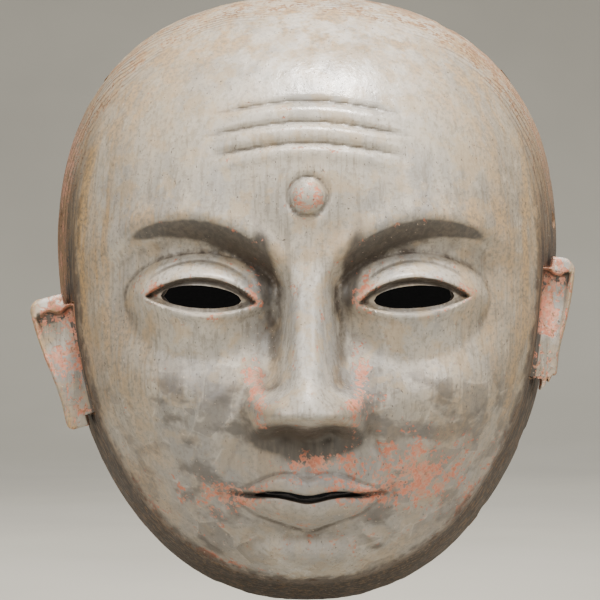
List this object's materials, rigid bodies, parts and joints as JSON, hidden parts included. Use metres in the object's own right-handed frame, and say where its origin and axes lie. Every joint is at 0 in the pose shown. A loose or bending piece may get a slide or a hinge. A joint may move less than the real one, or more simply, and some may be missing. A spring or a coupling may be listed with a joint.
{
  "type": "noh mask",
  "caption": "Carved hollow wooden theatre mask of a calm bald face, with eye holes, pegged ear blocks, cord holes and fitting pads.",
  "frame": {"origin": "middle of the flat back rim plane, half way up the mask", "axes": "the face looks along -Y, +Y points out of the back towards the wearer or the wall, +Z points to the crown, +X to the mask's own left"},
  "size_m": [0.1876, 0.0967, 0.212],
  "materials": {
    "pigmented_wood": "worn warm-grey pigment over a salmon undercoat and ochre wood, softly burnished",
    "pigmented_ear_wood": "worn grey pigment with salmon patches over bare wood",
    "bamboo": "split bamboo, matt",
    "pad_cloth": "unbleached cotton, hand sewn, stuffed"
  },
  "bodies": {
    "root": {"face_shell": "pigmented_wood", "ear_left": "pigmented_ear_wood", "ear_right": "pigmented_ear_wood", "ear_pegs_left": "bamboo", "ear_pegs_right": "bamboo", "forehead_pad": "pad_cloth", "cheek_pad_left": "pad_cloth", "cheek_pad_right": "pad_cloth"}
  },
  "joints": []
}
